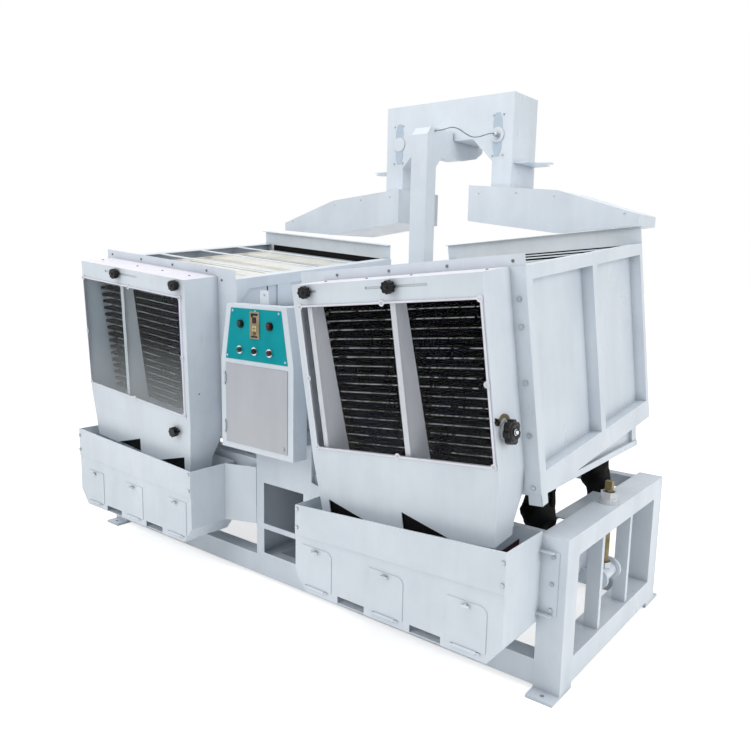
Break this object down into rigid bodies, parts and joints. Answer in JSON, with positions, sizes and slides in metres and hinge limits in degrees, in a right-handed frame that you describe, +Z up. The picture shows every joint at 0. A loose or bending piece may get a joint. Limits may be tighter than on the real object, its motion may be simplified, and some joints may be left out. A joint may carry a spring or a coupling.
{
  "type": "paddy separator",
  "caption": "Gravity paddy separator: tilting sieve bodies with discharge hoods, troughs and a central drive tower with a raised feed head.",
  "frame": {"origin": "on the floor under the middle of the machine's bounding box", "axes": "+X along the machine to its right end, +Y from the discharge side to the feed side, +Z up"},
  "size_m": [2.8, 1.9159, 2.441],
  "materials": {
    "white_paint": "satin",
    "dark_steel": "worn",
    "bare_steel": "brushed",
    "clear_pane": "gloss",
    "black_knob": "gloss",
    "rubber": "matte",
    "cable_jacket": "matte",
    "brass": "satin",
    "cast_iron": "rough",
    "teal_paint": "gloss",
    "lamp_lens": "gloss",
    "chrome": "polished",
    "motor_paint": "satin"
  },
  "bodies": {
    "root": {"base_frame": "white_paint", "end_frame_right": "white_paint", "end_frame_left": "white_paint", "tower": "white_paint", "bearing_blocks": "cast_iron", "motor": "motor_paint", "drive_belts": "rubber", "trough_right": "white_paint", "trough_left": "white_paint", "control_box": "white_paint", "control_plate": "teal_paint", "signal_lamps": "lamp_lens", "panel_fittings": "chrome", "feed_column": "white_paint", "distribution_box": "white_paint", "sight_panes": "clear_pane", "level_sensor": "bare_steel", "sensor_cable": "cable_jacket", "feed_chutes": "white_paint", "fasteners": "bare_steel"},
    "eccentric_shaft": {"eccentric_shaft": "cast_iron"},
    "motor_pulley": {"motor_pulley": "cast_iron"},
    "control_cover": {"control_cover": "white_paint"},
    "clamp_wheel": {"clamp_wheel": "black_knob"},
    "clamp_knob": {"clamp_knob": "black_knob"},
    "cradle_right": {"cradle_right": "white_paint"},
    "tilt_screw_right": {"tilt_screw_right": "brass"},
    "sieve_body_right": {"sieve_body_right": "white_paint", "deck_stack_right": "dark_steel", "hood_right": "white_paint", "window_right": "clear_pane"},
    "rocker_inner_right": {"rocker_inner_right": "white_paint"},
    "rocker_outer_right": {"rocker_outer_right": "white_paint", "boots_right": "rubber"},
    "connecting_rod_right": {"connecting_rod_right": "cast_iron"},
    "divider_inner_right": {"divider_inner_right": "white_paint"},
    "divider_middle_right": {"divider_middle_right": "white_paint"},
    "slide_gate_right": {"slide_gate_right": "white_paint"},
    "door_inner_right": {"door_inner_right": "white_paint"},
    "door_middle_right": {"door_middle_right": "white_paint"},
    "door_outer_right": {"door_outer_right": "white_paint"},
    "cradle_left": {"cradle_left": "white_paint"},
    "tilt_screw_left": {"tilt_screw_left": "brass"},
    "sieve_body_left": {"sieve_body_left": "white_paint", "deck_stack_left": "dark_steel", "hood_left": "white_paint", "window_left": "clear_pane"},
    "rocker_inner_left": {"rocker_inner_left": "white_paint"},
    "rocker_outer_left": {"rocker_outer_left": "white_paint", "boots_left": "rubber"},
    "connecting_rod_left": {"connecting_rod_left": "cast_iron"},
    "divider_inner_left": {"divider_inner_left": "white_paint"},
    "divider_middle_left": {"divider_middle_left": "white_paint"},
    "slide_gate_left": {"slide_gate_left": "white_paint"},
    "door_inner_left": {"door_inner_left": "white_paint"},
    "door_middle_left": {"door_middle_left": "white_paint"},
    "door_outer_left": {"door_outer_left": "white_paint"},
    "push_button_left": {"push_button_left": "black_knob"},
    "push_button_middle": {"push_button_middle": "black_knob"},
    "push_button_right": {"push_button_right": "black_knob"}
  },
  "joints": [
    {"name": "cradle_tilt_right", "type": "hinge", "parent": "root", "child": "cradle_right", "pos_m": [0.225, -0.202, 0.611], "axis": [0, -1, 0], "range_deg": [-3, 1]},
    {"name": "screw_lean_right", "type": "hinge", "parent": "cradle_right", "child": "tilt_screw_right", "pos_m": [1.347, -0.139, 0.3], "axis": [0, -1, 0], "range_deg": [-0.4, 0.2]},
    {"name": "body_stroke_right", "type": "slide", "parent": "cradle_right", "child": "sieve_body_right", "axis": [0.9962, 0, 0.0872], "range_m": [-0.008, 0.008]},
    {"name": "rocker_inner_right_swing", "type": "hinge", "parent": "cradle_right", "child": "rocker_inner_right", "pos_m": [0.41806, -0.202, 0.35485], "axis": [0, 1, 0], "range_deg": [-1.75, 1.75]},
    {"name": "rocker_outer_right_swing", "type": "hinge", "parent": "cradle_right", "child": "rocker_outer_right", "pos_m": [1.22498, -0.202, 0.42545], "axis": [0, 1, 0], "range_deg": [-1.75, 1.75]},
    {"name": "rod_pivot_right", "type": "hinge", "parent": "sieve_body_right", "child": "connecting_rod_right", "pos_m": [0.29302, -0.232, 0.63664], "axis": [0, -1, 0], "range_deg": [-1, 2.5]},
    {"name": "cradle_tilt_left", "type": "hinge", "parent": "root", "child": "cradle_left", "pos_m": [-0.225, -0.202, 0.611], "axis": [0, 1, 0], "range_deg": [-3, 1]},
    {"name": "screw_lean_left", "type": "hinge", "parent": "cradle_left", "child": "tilt_screw_left", "pos_m": [-1.347, -0.139, 0.3], "axis": [0, 1, 0], "range_deg": [-0.4, 0.2]},
    {"name": "body_stroke_left", "type": "slide", "parent": "cradle_left", "child": "sieve_body_left", "axis": [-0.9962, 0, 0.0872], "range_m": [-0.008, 0.008]},
    {"name": "rocker_inner_left_swing", "type": "hinge", "parent": "cradle_left", "child": "rocker_inner_left", "pos_m": [-0.41806, -0.202, 0.35485], "axis": [0, -1, 0], "range_deg": [-1.75, 1.75]},
    {"name": "rocker_outer_left_swing", "type": "hinge", "parent": "cradle_left", "child": "rocker_outer_left", "pos_m": [-1.22498, -0.202, 0.42545], "axis": [0, -1, 0], "range_deg": [-1.75, 1.75]},
    {"name": "rod_pivot_left", "type": "hinge", "parent": "sieve_body_left", "child": "connecting_rod_left", "pos_m": [-0.29302, -0.152, 0.63664], "axis": [0, 1, 0], "range_deg": [-1, 2.5]},
    {"name": "eccentric_spin", "type": "hinge", "parent": "root", "child": "eccentric_shaft", "pos_m": [0, 0.078, 0.611], "axis": [0, 1, 0], "continuous": true},
    {"name": "motor_spin", "type": "hinge", "parent": "root", "child": "motor_pulley", "pos_m": [0, 0.078, 0.265], "axis": [0, 1, 0], "continuous": true},
    {"name": "divider_inner_right_slide", "type": "slide", "parent": "sieve_body_right", "child": "divider_inner_right", "axis": [0.9962, 0, 0.0872], "range_m": [-0.04, 0.036]},
    {"name": "divider_inner_left_slide", "type": "slide", "parent": "sieve_body_left", "child": "divider_inner_left", "axis": [-0.9962, 0, 0.0872], "range_m": [-0.01, 0.066]},
    {"name": "divider_middle_right_slide", "type": "slide", "parent": "sieve_body_right", "child": "divider_middle_right", "axis": [0.9962, 0, 0.0872], "range_m": [-0.112, 0.144]},
    {"name": "divider_middle_left_slide", "type": "slide", "parent": "sieve_body_left", "child": "divider_middle_left", "axis": [-0.9962, 0, 0.0872], "range_m": [-0.15, 0.106]},
    {"name": "clamp_wheel_turn", "type": "hinge", "parent": "sieve_body_right", "child": "clamp_wheel", "pos_m": [1.2214, -0.81106, 0.98835], "axis": [0.9962, 0, 0.0872], "range_deg": [0, 90]},
    {"name": "clamp_knob_turn", "type": "hinge", "parent": "sieve_body_left", "child": "clamp_knob", "pos_m": [-0.5021, -0.85596, 0.7195], "axis": [-0.0082, -0.9956, -0.0937], "range_deg": [0, 90]},
    {"name": "door_inner_right_drop", "type": "hinge", "parent": "root", "child": "door_inner_right", "pos_m": [0.459, -0.91085, 0.2265], "axis": [1, 0, 0], "range_deg": [0, 80]},
    {"name": "door_middle_right_drop", "type": "hinge", "parent": "root", "child": "door_middle_right", "pos_m": [0.809, -0.91085, 0.2265], "axis": [1, 0, 0], "range_deg": [0, 80]},
    {"name": "door_outer_right_drop", "type": "hinge", "parent": "root", "child": "door_outer_right", "pos_m": [1.159, -0.91085, 0.2265], "axis": [1, 0, 0], "range_deg": [0, 80]},
    {"name": "door_inner_left_drop", "type": "hinge", "parent": "root", "child": "door_inner_left", "pos_m": [-0.459, -0.91085, 0.2265], "axis": [1, 0, 0], "range_deg": [0, 80]},
    {"name": "door_middle_left_drop", "type": "hinge", "parent": "root", "child": "door_middle_left", "pos_m": [-0.809, -0.91085, 0.2265], "axis": [1, 0, 0], "range_deg": [0, 80]},
    {"name": "door_outer_left_drop", "type": "hinge", "parent": "root", "child": "door_outer_left", "pos_m": [-1.159, -0.91085, 0.2265], "axis": [1, 0, 0], "range_deg": [0, 80]},
    {"name": "cover_swing", "type": "hinge", "parent": "root", "child": "control_cover", "pos_m": [-0.202, -0.8135, 0.897], "axis": [0, 0, -1], "range_deg": [0, 100]},
    {"name": "button_left_press", "type": "slide", "parent": "root", "child": "push_button_left", "axis": [0, 1, 0], "range_m": [0, 0.005], "stiffness_N_per_m": 400},
    {"name": "button_middle_press", "type": "slide", "parent": "root", "child": "push_button_middle", "axis": [0, 1, 0], "range_m": [0, 0.005], "stiffness_N_per_m": 400},
    {"name": "button_right_press", "type": "slide", "parent": "root", "child": "push_button_right", "axis": [0, 1, 0], "range_m": [0, 0.005], "stiffness_N_per_m": 400},
    {"name": "gate_right_slide", "type": "slide", "parent": "root", "child": "slide_gate_right", "axis": [1, 0, 0], "range_m": [-0.105, 0]},
    {"name": "gate_left_slide", "type": "slide", "parent": "root", "child": "slide_gate_left", "axis": [-1, 0, 0], "range_m": [-0.105, 0]}
  ],
  "couplings": [
    {"joint": "screw_lean_right", "follows": "cradle_tilt_right", "ratio": 0.10284},
    {"joint": "rocker_inner_right_swing", "follows": "body_stroke_right", "rad_per_m": 3.6232},
    {"joint": "rocker_outer_right_swing", "follows": "body_stroke_right", "rad_per_m": 3.6232},
    {"joint": "rod_pivot_right", "follows": "cradle_tilt_right", "ratio": -0.76493},
    {"joint": "screw_lean_left", "follows": "cradle_tilt_left", "ratio": 0.10284},
    {"joint": "rocker_inner_left_swing", "follows": "body_stroke_left", "rad_per_m": 3.6232},
    {"joint": "rocker_outer_left_swing", "follows": "body_stroke_left", "rad_per_m": 3.6232},
    {"joint": "rod_pivot_left", "follows": "cradle_tilt_left", "ratio": -0.76493},
    {"joint": "motor_spin", "follows": "eccentric_spin", "ratio": 2.5}
  ]
}
